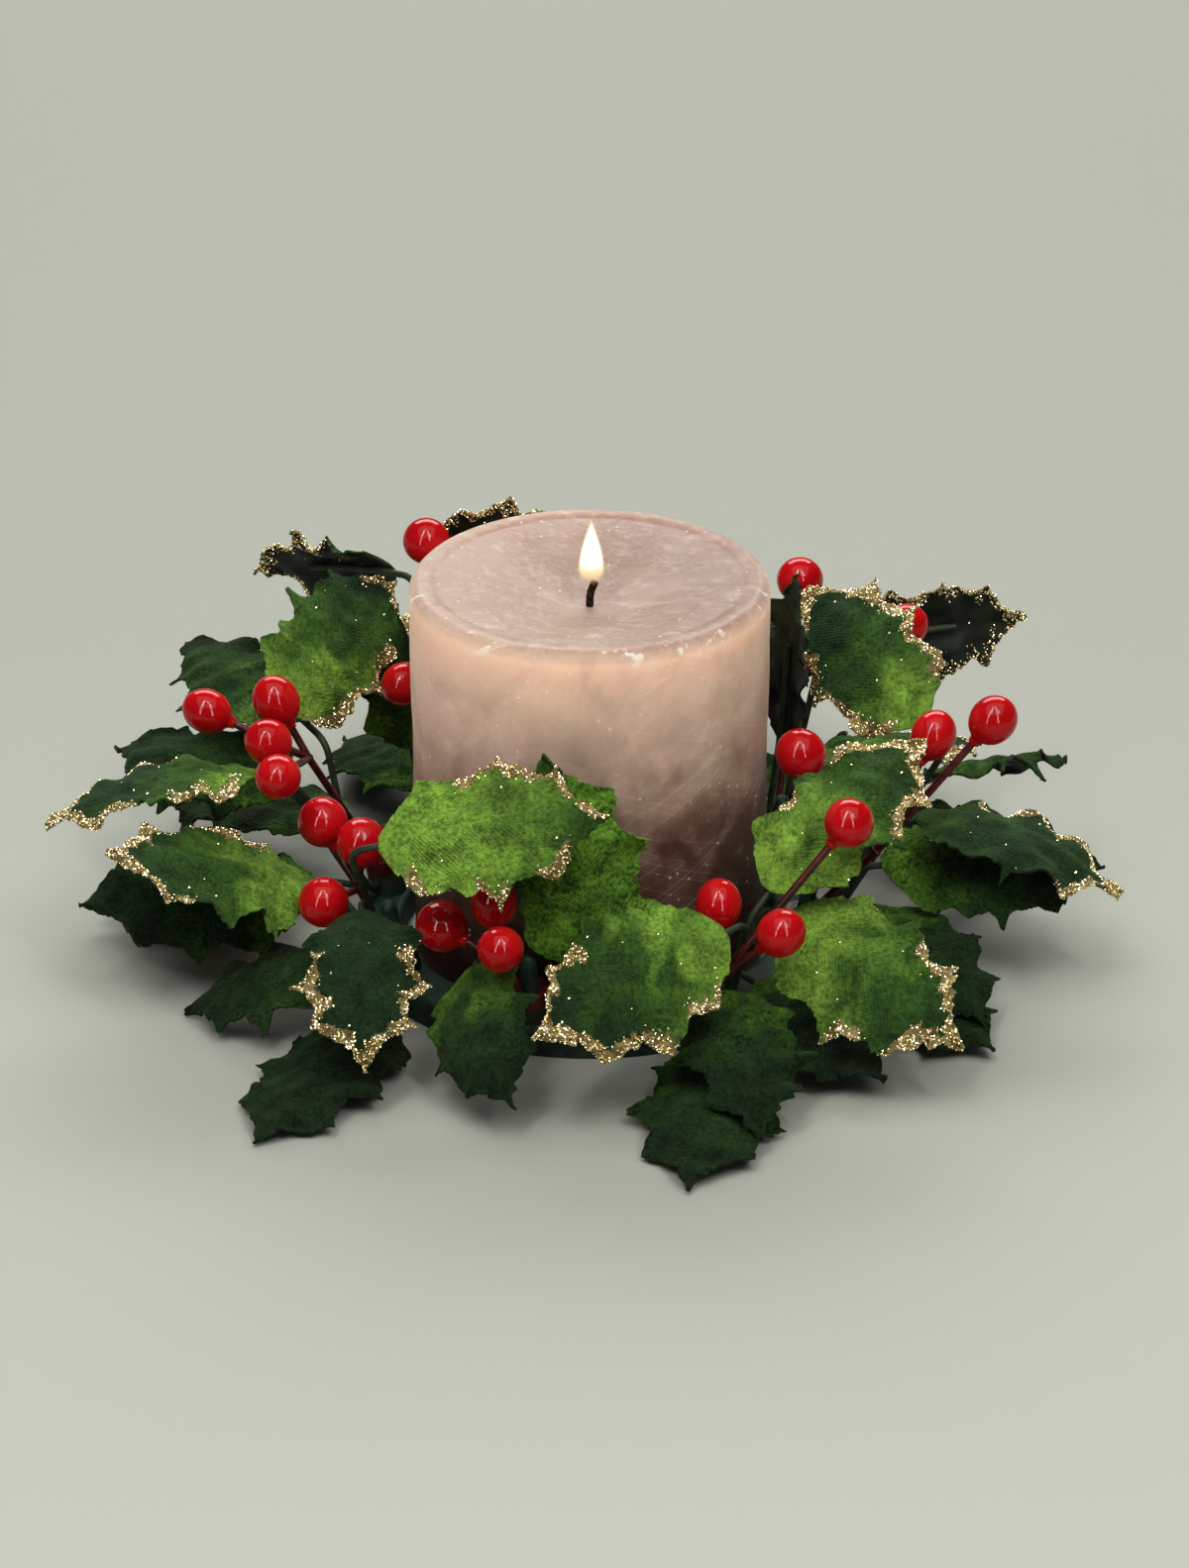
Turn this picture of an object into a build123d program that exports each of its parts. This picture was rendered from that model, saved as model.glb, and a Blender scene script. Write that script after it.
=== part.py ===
"""Holly candle ring with its pillar candle.

A moulded ring with leaning pegs lies on the table round the candle. Two eyelets are pushed on each
peg: the wire stem of a leaf spray below and the wire stem of a berry pick above it. Stiffened cloth
leaves are glued on the ribs of the leaf stems, and berries on the ends of the pick wires.

The origin is on the table at the centre of the ring, +Z points up and -Y points to the front.
Bearings and headings are degrees from the front, positive towards +X. Sizes are millimetres.
"""
import os
from collections import namedtuple
from math import cos, radians, sin, tan

from build123d import *

# The candle: a cast pillar with a melted hollow round its wick
CANDLE_DIAMETER = 70.0
CANDLE_HEIGHT = 80.0
CANDLE_SHOULDER = 2.5
MELT_RIM = 4.0
MELT_DEPTH = 6.0
WICK_DIAMETER = 1.5
WICK_SHOWN = 5.0
WICK_LEAN = 1.0
WICK_FOOT = 4.0
WICK_CLEARANCE = 0.1

# The moulded ring: an open-bottomed channel with a row of pegs
RING_CLEARANCE = 2.5
RING_WIDTH = 9.5
RING_HEIGHT = 6.0
RING_WALL = 1.8
RING_ROUNDING = 1.5
PEG_COUNT = 8
FIRST_PEG_BEARING = -150.0
PEG_DIAMETER = 3.2
PEG_LENGTH = 14.0
PEG_LEAN = 12.0
PEG_SEAT = 1.2

# The eyelets that slide over the pegs, and the share of the shorter run that a bend of a wire may take
EYELET_CLEARANCE = 0.15
EYELET_WALL = 1.8
EYELET_HEIGHT = 3.0
STEM_REACH = 1.2
BEND_SHARE = 0.45

# The cloth leaves, cut with two dies, and the wire ribs under them
LEAF_THICKNESS = 0.6
LEAF_FOLD = 12.0
LEAF_FOOT = 2.6
TRIM_ANGLE = 4.0
SPINE_DEPTH = 2.2
SHOULDER_BULGE = 1.4
RIB_DIAMETER = 1.4
RIB_SHARE = 0.6
RIB_LEAD = 7.0
GLUE_GAP = 0.1

# The berries and their wires
BERRY_DIAMETER = 10.0
BERRY_LENGTH = 10.6
BERRY_SOCKET = 2.5
PICK_DIAMETER = 1.5
STALK_RISE = 4.0
FORK_SWELL = 1.25

# Where the spines of a leaf's edge stand: shares of its length and of its half width
SPINES = ((0.23, 0.82), (0.51, 1.0), (0.77, 0.72))

Die = namedtuple("Die", "length width")
LARGE = Die(45.0, 31.0)
SMALL = Die(37.0, 27.0)

# Each leaf: its finish and die, the bearing of its foot, how far the foot lies out from the pegs'
# circle and up from the ring, the heading and rise of its midrib there, its droop to the tip and its roll
Leaf = namedtuple("Leaf", "finish die bearing out up heading rise droop roll")
SPRAYS = {
    "a": (
        Leaf("gilt", SMALL, -141, 22, 54, -131, -8, 20, 50),
        Leaf("gilt", SMALL, 178, 6, 58.5, -96, 8, 12, 68),
        Leaf("plain", SMALL, -136, 9, 19, -124, 78, 20, 0),
        Leaf("plain", LARGE, -120, 16, 8, -118, 5, 30, 0),
        Leaf("plain", LARGE, -146, 14, 6, -150, 5, 30, 0),
        Leaf("gilt", LARGE, -158, 16, 28, -168, 15, 45, 10),
    ),
    "b": (
        Leaf("gilt", LARGE, -98, 20, 42, 142, 20, 20, 50),
        Leaf("plain", LARGE, -106, 17, 36, -140, 15, 30, -10),
        Leaf("plain", LARGE, -98, 18, 24, -120, 12, 30, -10),
        Leaf("gilt", LARGE, -83, 22, 36, -84, 15, 52, 10),
        Leaf("plain", LARGE, -96, 14, 6, -90, 5, 30, 0),
    ),
    "c": (
        Leaf("gilt", LARGE, -68, 15, 18, -62, 32, 25, -21),
        Leaf("plain", LARGE, -77, 15, 13, -70, 12, 22, -35),
        Leaf("plain", SMALL, -52, 15, 8, -92, 1, 42, -12),
        Leaf("gilt", SMALL, -47, 17, 23, 3, 0, 55, 0),
        Leaf("plain", LARGE, -44, 15, 1, -30, 0, 12, 0),
        Leaf("gilt", LARGE, -42, 17, 39, 73, 19, 20, 46),
    ),
    "d": (
        Leaf("plain", SMALL, -26, 10, 14, -5, 5, 65, 38),
        Leaf("plain", LARGE, 3, 5, 12, -120, 73, 8, -58),
    ),
    "e": (
        Leaf("gilt", LARGE, 25, 18, 26, -45, 0, 30, -42),
        Leaf("plain", SMALL, 27, 14, 11, 10, 5, 50, 0),
        Leaf("plain", LARGE, 26, 16, 2, -10, 0, 15, 0),
        Leaf("gilt", LARGE, 42, 13, 22, 37, 0, 40, 35),
        Leaf("plain", SMALL, 43, 6, 5, 38, 0, 20, 0),
        Leaf("gilt", LARGE, 39, 11, 28, 122, 46, 40, 15),
    ),
    "f": (
        Leaf("gilt", LARGE, 90, 23, 43, -140, 25, 25, -45),
        Leaf("gilt", LARGE, 84, 22, 26, 72, 14, 58, -5),
        Leaf("plain", SMALL, 98, 26, 27, 130, 0, 25, -25),
        Leaf("plain", LARGE, 79, 16, 18, 90, 7, 25, 25),
        Leaf("plain", SMALL, 73, 15, 11, 38, 2, 42, 4),
        Leaf("plain", SMALL, 66, 14, 2, 45, 0, 15, 5),
    ),
    "g": (
        Leaf("gilt", SMALL, 131, 29, 39, 108, 5, 20, -84),
        Leaf("plain", SMALL, 112, 0, 30, -68, 97, 10, 0),
        Leaf("plain", LARGE, 112, 16, 7, 113, 5, 30, 0),
        Leaf("gilt", LARGE, 124, 14, 18, 128, 10, 40, -10),
        Leaf("plain", LARGE, 140, 13, 6, 142, 5, 30, 0),
    ),
    "h": (
        Leaf("plain", LARGE, 172, 13, 6, 176, 5, 30, 0),
        Leaf("gilt", LARGE, 164, 14, 25, 160, 15, 45, 0),
        Leaf("gilt", LARGE, 150, 8, 26, 161, 25, 40, 0),
        Leaf("plain", LARGE, -176, 6, 34, -172, 30, 40, 0),
    ),
}

# Each berry pick: the spot where its stalk forks, and the spots of its berries' centres. A spot is a
# bearing, with a distance out from the pegs' circle and up from the ring
Spot = namedtuple("Spot", "bearing out up")
Pick = namedtuple("Pick", "fork berries")
PICKS = {
    "a": Pick(
        Spot(-150, 14, 36),
        (Spot(-139, 8, 65), Spot(-165, 28, 46), Spot(-152, 24, 44), Spot(-122, 2, 40)),
    ),
    "b": Pick(
        Spot(-88, 13, 36),
        (Spot(-92, 33, 44), Spot(-89, 19, 48), Spot(-80, 21, 44), Spot(-68, 22, 43)),
    ),
    "c": Pick(Spot(-63, 8, 18), (Spot(-73, 12, 29), Spot(-61, 8, 29), Spot(-58, 18, 20))),
    "d": Pick(Spot(-21, 9, 17), (Spot(-34, 8, 20), Spot(-21, 8, 28), Spot(-16, 18, 24))),
    "e": Pick(Spot(25, 15, 14), (Spot(29, 8, 26), Spot(32, 25, 27), Spot(47, 24, 44))),
    "f": Pick(Spot(73, 16, 23), (Spot(77, 37, 52), Spot(83, 25, 44), Spot(76, 0, 41))),
    "g": Pick(Spot(132, 14, 34), (Spot(118, 30, 48), Spot(138, 22, 52), Spot(139, 23, 34))),
    "h": Pick(Spot(168, 10, 34), (Spot(166, 18, 48), Spot(173, 26, 44), Spot(170, 11, 56))),
}

CANDLE_RADIUS = CANDLE_DIAMETER / 2
RING_BORE = CANDLE_RADIUS + RING_CLEARANCE
PEG_CIRCLE = RING_BORE + RING_WIDTH / 2
PEG_RADIUS = PEG_DIAMETER / 2
EYELET_BORE = PEG_RADIUS + EYELET_CLEARANCE
EYELET_RADIUS = EYELET_BORE + EYELET_WALL
RIB_RADIUS = RIB_DIAMETER / 2
PICK_RADIUS = PICK_DIAMETER / 2


def place(bearing, radius, height):
    """The point at a bearing and distance from the ring's axis."""
    return Vector(radius * sin(radians(bearing)), -radius * cos(radians(bearing)), height)


def slope(heading, rise):
    """The unit vector that points along a heading and climbs by the rise."""
    level = cos(radians(rise))
    return Vector(level * sin(radians(heading)), -level * cos(radians(heading)), sin(radians(rise)))


def peg_bearing(number):
    return FIRST_PEG_BEARING + number * 360 / PEG_COUNT


def peg_plane(bearing):
    """The plane at a peg's root: Z runs up the peg, and X points outward."""
    root = place(bearing, PEG_CIRCLE, RING_HEIGHT)
    return Plane(root, x_dir=slope(bearing, -PEG_LEAN), z_dir=slope(bearing, 90 - PEG_LEAN))


def rod(radius, length):
    """A round rod standing on Z = 0."""
    return Cylinder(radius, length, align=(Align.CENTER, Align.CENTER, Align.MIN))


def wire(points, radius, end=None):
    """A round wire through the points, bent as gently as its runs allow, with a tangent end curve."""
    bends = []
    for before, corner, after in zip(points, points[1:], points[2:]):
        turn = (corner - before).get_angle(after - corner)
        run = min((corner - before).length, (after - corner).length)
        bends.append(BEND_SHARE * run / tan(radians(turn / 2)))
    path = FilletPolyline(*points, radius=bends)
    if end is not None:
        path = Wire(path.edges() + [end])
    return sweep(Plane(points[0], z_dir=points[1] - points[0]) * Circle(radius), path=path)


def candle_wax():
    rim = CANDLE_RADIUS - MELT_RIM
    hollow = CANDLE_HEIGHT - MELT_DEPTH
    shoulder = CANDLE_HEIGHT - CANDLE_SHOULDER
    bore = WICK_DIAMETER / 2 + WICK_CLEARANCE
    corner = CANDLE_RADIUS - CANDLE_SHOULDER
    dip = ((rim + bore) / 2, (CANDLE_HEIGHT + hollow) / 2)
    side = (CANDLE_RADIUS, shoulder)
    outline = Polyline((bore, hollow), (bore, WICK_FOOT), (0, WICK_FOOT), (0, 0), (CANDLE_RADIUS, 0), side)
    outline += RadiusArc(side, (corner, CANDLE_HEIGHT), -CANDLE_SHOULDER)
    outline += Line((corner, CANDLE_HEIGHT), (rim, CANDLE_HEIGHT))
    outline += TangentArc((rim, CANDLE_HEIGHT), dip, tangent=(-1, 0))
    outline += TangentArc((bore, hollow), dip, tangent=(1, 0))
    return revolve(Plane.XZ * make_face(outline), Axis.Z)


def wick():
    hollow = CANDLE_HEIGHT - MELT_DEPTH
    knee = Vector(0, 0, hollow + WICK_SHOWN / 2)
    tip = Vector(WICK_LEAN, 0, hollow + WICK_SHOWN)
    return wire([Vector(0, 0, WICK_FOOT), knee, tip], WICK_DIAMETER / 2)


def base_ring():
    outer = RING_BORE + RING_WIDTH
    top = RING_HEIGHT - RING_WALL
    channel = Polyline(
        (RING_BORE, 0),
        (RING_BORE, RING_HEIGHT),
        (outer, RING_HEIGHT),
        (outer, 0),
        (outer - RING_WALL, 0),
        (outer - RING_WALL, top),
        (RING_BORE + RING_WALL, top),
        (RING_BORE + RING_WALL, 0),
        close=True,
    )
    section = make_face(channel)
    section = fillet(section.vertices().group_by(Axis.Y)[-1], RING_ROUNDING)
    ring = revolve(Plane.XZ * section, Axis.Z)
    root = RING_WALL / 2
    peg = rod(EYELET_RADIUS, root + PEG_SEAT) + rod(PEG_RADIUS, root + PEG_LENGTH)
    peg = Pos(0, 0, -root) * peg + Pos(0, 0, PEG_LENGTH) * Sphere(PEG_RADIUS)
    pegs = [peg_plane(peg_bearing(number)) * peg for number in range(PEG_COUNT)]
    return ring + pegs


def eyelet():
    """A short tube that slides over a peg, standing on Z = 0."""
    tube = Circle(EYELET_RADIUS) - Circle(EYELET_BORE)
    return extrude(tube, EYELET_HEIGHT)


def wire_start(peg, level, target):
    """Two points where a wire leaves an eyelet: in its wall, and just clear of it on the target's side."""
    toward = peg.to_local_coords(target)
    side = Vector(toward.X, toward.Y, 0).normalized()
    middle = Vector(0, 0, level + EYELET_HEIGHT / 2)
    inner = middle + side * (EYELET_BORE + EYELET_WALL / 2)
    outer = middle + side * (EYELET_RADIUS + RIB_DIAMETER + STEM_REACH)
    return peg.from_local_coords(inner), peg.from_local_coords(outer)


def leaf_plane(leaf):
    """The plane at a leaf's foot: X runs along the midrib, and Z out of the upper face."""
    foot = place(leaf.bearing, PEG_CIRCLE + leaf.out, RING_HEIGHT + leaf.up)
    plane = Plane(foot, x_dir=slope(leaf.heading, leaf.rise), z_dir=slope(leaf.heading, leaf.rise + 90))
    return Plane(plane.location * Rot(leaf.roll, 0, 0))


def leaf_outline(length, width):
    """A spiny leaf lying along +X: rounded shoulders at the foot, then scallops from spine to spine."""
    half = width / 2
    tips = [(along * length, across * half) for along, across in SPINES] + [(length, 0)]
    foot = (0, LEAF_FOOT / 2)
    edge = SagittaArc(foot, tips[0], SHOULDER_BULGE)
    for start, end in zip(tips, tips[1:]):
        edge += SagittaArc(start, end, -SPINE_DEPTH)
    return make_face(edge + mirror(edge, Plane.XZ) + Line(foot, (0, -LEAF_FOOT / 2)))


def leaf_blade(die, droop):
    """A leaf at the origin: a folded strip swung round the droop's axis, trimmed to the leaf's outline."""
    bend = die.length / radians(droop)
    fall = die.width * tan(radians(LEAF_FOLD))
    depth = LEAF_THICKNESS / cos(radians(LEAF_FOLD))
    upper = [(-die.width, -fall), (0, 0), (die.width, -fall)]
    lower = [(across, height - depth) for across, height in reversed(upper)]
    section = Plane.YZ * make_face(Polyline(*upper, *lower, close=True))
    axis = Axis((0, 0, -bend), (0, 1, 0))
    strip = revolve(section.rotate(axis, -TRIM_ANGLE), axis, droop + 2 * TRIM_ANGLE)
    chord = 2 * bend * sin(radians(droop / 2))
    lean = radians(droop / 2)
    flat = Plane((0, 0, 0), x_dir=(cos(lean), 0, -sin(lean)), z_dir=(sin(lean), 0, cos(lean)))
    outline = flat * leaf_outline(chord, die.width)
    return strip & extrude(outline, die.width, both=True)


def leaf_rib(leaf):
    """The wire under a leaf: its lead and foot points, and the arc that follows the midrib."""
    plane = leaf_plane(leaf)
    bend = leaf.die.length / radians(leaf.droop)
    depth = (LEAF_THICKNESS + GLUE_GAP + RIB_RADIUS) / cos(radians(LEAF_FOLD))
    turns = [radians(leaf.droop) * share for share in (0, RIB_SHARE / 2, RIB_SHARE)]
    radius = bend - depth
    points = [plane.from_local_coords((radius * sin(turn), 0, radius * cos(turn) - bend)) for turn in turns]
    return points[0] - plane.x_dir * RIB_LEAD, points[0], ThreePointArc(*points)


def leaf_stem(number, leaves):
    """A spray's eyelet with one wire to each of its leaves."""
    peg = peg_plane(peg_bearing(number))
    wires = []
    for leaf in leaves:
        lead, foot, arc = leaf_rib(leaf)
        inner, outer = wire_start(peg, PEG_SEAT, lead)
        wires.append(wire([inner, outer, lead, foot], RIB_RADIUS, arc))
    return peg * Pos(0, 0, PEG_SEAT) * eyelet() + wires


def spot_place(spot):
    return place(spot.bearing, PEG_CIRCLE + spot.out, RING_HEIGHT + spot.up)


def berry_plane(pick, spot):
    """The plane at a berry's centre: Z points along its wire, away from the fork."""
    centre = spot_place(spot)
    return Plane(centre, z_dir=centre - spot_place(pick.fork))


def berry_bead():
    """A berry round the origin with a socket for its wire underneath."""
    half = BERRY_LENGTH / 2
    profile = EllipticalCenterArc((0, 0), BERRY_DIAMETER / 2, half, start_angle=-90, arc_size=180)
    profile += Line((0, half), (0, -half))
    bead = revolve(Plane.XZ * make_face(profile), Axis.Z)
    return bead - Pos(0, 0, -half) * rod(PICK_RADIUS + GLUE_GAP, BERRY_SOCKET)


def stalk_points(number, pick):
    """The stalk of a pick: from its eyelet's wall up beside the peg, and on to the fork."""
    peg = peg_plane(peg_bearing(number))
    fork = spot_place(pick.fork)
    toward = peg.to_local_coords(fork)
    side = Vector(toward.X, toward.Y, 0).normalized() * (EYELET_BORE + EYELET_WALL / 2)
    level = PEG_SEAT + EYELET_HEIGHT + EYELET_HEIGHT / 2
    low = peg.from_local_coords(side + Vector(0, 0, level))
    high = peg.from_local_coords(side + Vector(0, 0, level + STALK_RISE))
    return [low, high, fork]


def berry_stem(number, pick):
    """A pick's eyelet and stalk with one wire from the fork to each berry."""
    fork = spot_place(pick.fork)
    pieces = [wire(stalk_points(number, pick), PICK_RADIUS), Pos(fork) * Sphere(PICK_RADIUS * FORK_SWELL)]
    for spot in pick.berries:
        reach = (spot_place(spot) - fork).length - BERRY_LENGTH / 2 + BERRY_SOCKET - GLUE_GAP
        pieces.append(Plane(fork, z_dir=spot_place(spot) - fork) * rod(PICK_RADIUS, reach))
    return peg_plane(peg_bearing(number)) * Pos(0, 0, PEG_SEAT + EYELET_HEIGHT) * eyelet() + pieces


def save(name, solids):
    shape = solids[0] if len(solids) == 1 else Compound(children=solids)
    export_step(shape, f"parts/{name}.step")


os.makedirs("parts", exist_ok=True)
save("candle_wax", [candle_wax()])
save("wick", [wick()])
save("base_ring", [base_ring()])
for number, (letter, leaves) in enumerate(SPRAYS.items()):
    save(f"leaf_stem_{letter}", [leaf_stem(number, leaves)])
    for count, leaf in enumerate(leaves, start=1):
        save(f"{leaf.finish}_leaf_{letter}{count}", [leaf_plane(leaf) * leaf_blade(leaf.die, leaf.droop)])
for letter, pick in PICKS.items():
    save(f"berries_{letter}", [berry_plane(pick, spot) * berry_bead() for spot in pick.berries])
save("berry_stems", [berry_stem(number, pick) for number, pick in enumerate(PICKS.values())])
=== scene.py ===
from math import cos, pi, radians, sin

import bpy
import numpy as np
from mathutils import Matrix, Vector, noise


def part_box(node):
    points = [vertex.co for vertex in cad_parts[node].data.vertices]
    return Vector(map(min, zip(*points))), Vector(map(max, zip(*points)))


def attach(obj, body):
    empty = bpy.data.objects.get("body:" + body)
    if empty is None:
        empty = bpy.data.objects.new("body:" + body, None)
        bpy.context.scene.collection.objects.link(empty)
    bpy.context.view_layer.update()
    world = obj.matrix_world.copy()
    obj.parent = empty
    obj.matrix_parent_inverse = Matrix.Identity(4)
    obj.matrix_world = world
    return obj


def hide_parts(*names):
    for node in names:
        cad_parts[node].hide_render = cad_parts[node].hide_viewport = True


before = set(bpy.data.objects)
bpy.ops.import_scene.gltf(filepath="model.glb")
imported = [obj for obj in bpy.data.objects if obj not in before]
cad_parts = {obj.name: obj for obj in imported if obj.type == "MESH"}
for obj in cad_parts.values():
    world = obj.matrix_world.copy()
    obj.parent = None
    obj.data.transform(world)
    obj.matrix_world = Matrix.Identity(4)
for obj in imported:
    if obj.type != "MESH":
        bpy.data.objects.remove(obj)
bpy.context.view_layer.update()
scene = bpy.context.scene
scene.view_settings.view_transform = "Standard"
bpy.ops.object.select_all(action="DESELECT")

# The base ring
# One moulding of dull dark green plastic lies on the table: an open-bottomed channel with a row of pegs that
# lean outward. Its surface is slightly mottled, with dust on top and fine scratches from handling.


class Paint:
    """A socket in a node tree. Arithmetic on it adds Math nodes, and node() adds any other node."""

    def __init__(self, tree, socket=None):
        self.tree = tree
        self.socket = socket

    def node(self, kind, settings, inputs, output=0):
        made = self.tree.nodes.new(kind)
        for name, value in settings.items():
            if name == "stops":
                made.color_ramp.elements.remove(made.color_ramp.elements[1])
                for place, colour in value:
                    made.color_ramp.elements.new(place).color = (*colour, 1)
                made.color_ramp.elements.remove(made.color_ramp.elements[0])
            else:
                setattr(made, name, value)
        for name, value in inputs.items():
            if isinstance(value, Paint):
                self.tree.links.new(value.socket, made.inputs[name])
            else:
                made.inputs[name].default_value = value
        return Paint(self.tree, made.outputs[output]) if made.outputs else None

    def math(self, operation, *values):
        return self.node("ShaderNodeMath", {"operation": operation}, dict(enumerate(values)))

    def __add__(self, other):
        return self.math("ADD", self, other)

    def __sub__(self, other):
        return self.math("SUBTRACT", self, other)

    def __mul__(self, other):
        return self.math("MULTIPLY", self, other)

    def __rsub__(self, other):
        return self.math("SUBTRACT", other, self)

    __radd__ = __add__
    __rmul__ = __mul__


def new_finish(name):
    """A fresh material, with its tree as a Paint."""
    made = bpy.data.materials.new(name)
    made.use_nodes = True
    return made, Paint(made.node_tree)


def dress(tree, sockets):
    """Feeds the sockets of a material's Principled shader."""
    shader = tree.tree.nodes["Principled BSDF"]
    for name, value in sockets.items():
        if isinstance(value, Paint):
            tree.tree.links.new(value.socket, shader.inputs[name])
        else:
            shader.inputs[name].default_value = value


def place_of(tree):
    return tree.node("ShaderNodeTexCoord", {}, {}, "Object")


def blotches(tree, place, size, detail=3.0, distortion=0.0):
    """Soft noise from 0 to 1 whose blotches are about the given size across."""
    inputs = {"Vector": place, "Scale": 1 / size, "Detail": detail, "Distortion": distortion}
    return tree.node("ShaderNodeTexNoise", {}, inputs)


def stretch(tree, value, low, high, to_low=0.0, to_high=1.0):
    """Maps the values from low to high, and clamps what lies outside."""
    inputs = {"Value": value, "From Min": low, "From Max": high, "To Min": to_low, "To Max": to_high}
    return tree.node("ShaderNodeMapRange", {"clamp": True}, inputs)


def mix(tree, share, first, second):
    """A colour between two colours."""
    first = first if isinstance(first, Paint) else (*first, 1)
    second = second if isinstance(second, Paint) else (*second, 1)
    return tree.node("ShaderNodeMix", {"data_type": "RGBA"}, {0: share, 6: first, 7: second}, 2)


def bump(tree, height, depth, strength=1.0):
    return tree.node("ShaderNodeBump", {}, {"Height": height, "Distance": depth, "Strength": strength})


MOTTLE_SIZE = 0.004
SKIN_SIZE = 0.0006
DUST_SIZE = 0.0025
DUST_SHARE = 0.35


def moulded_plastic(name, dark, light, dusty):
    """Dull moulded plastic with a mottled skin and a little dust."""
    made, tree = new_finish(name)
    place = place_of(tree)
    mottle = blotches(tree, place, size=MOTTLE_SIZE, detail=4)
    skin = blotches(tree, place, size=SKIN_SIZE, detail=2)
    dust = stretch(tree, blotches(tree, place, size=DUST_SIZE, detail=5), 0.5, 0.75)
    colour = mix(tree, stretch(tree, mottle, 0.3, 0.7), dark, light)
    dress(tree, {
        "Base Color": mix(tree, dust * DUST_SHARE, colour, dusty),
        "Roughness": 0.42 + mottle * 0.25 + dust * 0.15,
        "Specular IOR Level": 0.25,
        "Normal": bump(tree, skin + mottle, depth=0.00015, strength=0.6),
    })
    return made


RING_DARK = (0.006, 0.017, 0.008)
RING_LIGHT = (0.014, 0.050, 0.024)
RING_DUST = (0.050, 0.075, 0.055)
ring_plastic = moulded_plastic("ring_plastic", RING_DARK, RING_LIGHT, RING_DUST)
ring_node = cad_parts["base_ring"]
ring_node.data.materials.clear()
ring_node.data.materials.append(ring_plastic)

# The leaf stems
# Each spray of leaves hangs on an eyelet that is pushed over a peg. Its wires are soft iron, coated with dull
# green plastic, and end in the ribs that the leaves are glued on.

STEM_DARK = (0.010, 0.016, 0.006)
STEM_LIGHT = (0.022, 0.042, 0.014)
STEM_DUST = (0.055, 0.070, 0.040)
SPRAYS = "abcdefgh"
stem_plastic = moulded_plastic("stem_plastic", STEM_DARK, STEM_LIGHT, STEM_DUST)
for letter in SPRAYS:
    stem_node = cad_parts[f"leaf_stem_{letter}"]
    stem_node.data.materials.clear()
    stem_node.data.materials.append(stem_plastic)

# The leaves
# Die-cut from stiffened velvety cloth that is dyed lime at the foot and deep green at the tip, dark and a
# little shiny underneath. Each is folded along its midrib, droops, and is glued along a wire rib.

LEAF_FOOT = 0.0026
LEAF_FOLD = radians(12)
CREASE = 0.0015
CLOTH = 0.0005
SPINES = ((0.23, 0.82), (0.51, 1.0), (0.77, 0.72))
SPINE_DEPTH = 0.0028
TIP_DEPTH = 0.0013
SHOULDER_BULGE = 0.0009
STEPS_ALONG = 100
STEPS_ACROSS = 32
FRAY = 0.00012
TEETH = 0.0007
RIBS = 48
FLOOR_ROOM = 0.0009
CANDLE_ROOM = 0.0358
RIDGE_BAND = 0.00006
RIDGE_END = 0.0011
LEAF_END = 0.0016
SPINE_SPREAD = (0.93, 1.04)
FINE_TOOTH = 0.0055
COARSE_TOOTH = 0.012
CRUMPLE_HEIGHT = 0.0008
CRUMPLE_LENGTH = 0.016
CREPE_HEIGHT = 0.0004
CREPE_LENGTH = 0.0065
# The least and the most of a ruffled edge's waves, phase and height
RUFFLE_LEAST = (3.5, 0, 0.0006)
RUFFLE_MOST = (5.5, 1, 0.0014)
SPINE_CURL = (-0.0016, 0.0008)
CURL_REACH = 0.05
TIP_CURL = (-0.0015, 0.0004)
TIP_START = 0.86
USUAL_TONE = 0.1
TONE_CHANCE = 0.06


def measure_leaf(node):
    """Where a cut leaf lies: its foot, its axes along, across and up, its chord, half width and droop."""
    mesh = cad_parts[node].data
    points = np.empty(len(mesh.vertices) * 3)
    mesh.vertices.foreach_get("co", points)
    points = points.reshape(-1, 3)
    mesh.calc_loop_triangles()
    corners = np.empty(len(mesh.loop_triangles) * 3, int)
    mesh.loop_triangles.foreach_get("vertices", corners)
    a, b, c = points[corners.reshape(-1, 3)].transpose(1, 0, 2)
    area = np.linalg.norm(np.cross(b - a, c - a), axis=1) / 2
    centre = (area[:, None] * (a + b + c)).sum(0) / (3 * area.sum())
    spread = np.zeros((3, 3))
    for part in (a - centre, b - centre, c - centre, a + b + c - 3 * centre):
        spread += (area[:, None] * part).T @ part
    axes = np.linalg.eigh(spread)[1]
    across, along = axes[:, 1], axes[:, 2]
    side = (points - centre) @ across
    ridge = points[np.abs(side) < RIDGE_BAND]
    up = ridge.mean(0) - centre
    up -= across * (up @ across)
    ends = []
    for end in (ridge[((ridge - centre) @ along).argmin()], ridge[((ridge - centre) @ along).argmax()]):
        top = ridge[np.linalg.norm(ridge - end, axis=1) < RIDGE_END]
        breadth = np.ptp(side[np.linalg.norm(points - end, axis=1) < LEAF_END])
        ends.append((breadth, top[(top @ up).argmax()]))
    ends.sort(key=lambda end: -end[0])
    foot, tip = ends[0][1], ends[1][1]
    chord = np.linalg.norm(tip - foot)
    along = (tip - foot) / chord
    up -= along * (up @ along)
    up /= np.linalg.norm(up)
    crest = ridge[((ridge - foot) @ up).argmax()] - foot
    rise, run = crest @ up, crest @ along - chord / 2
    below = (run**2 + rise**2 - chord**2 / 4) / (2 * rise)
    bend = np.hypot(chord / 2, below)
    return foot, along, np.cross(up, along), up, chord, np.abs(side).max(), bend, below


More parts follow.
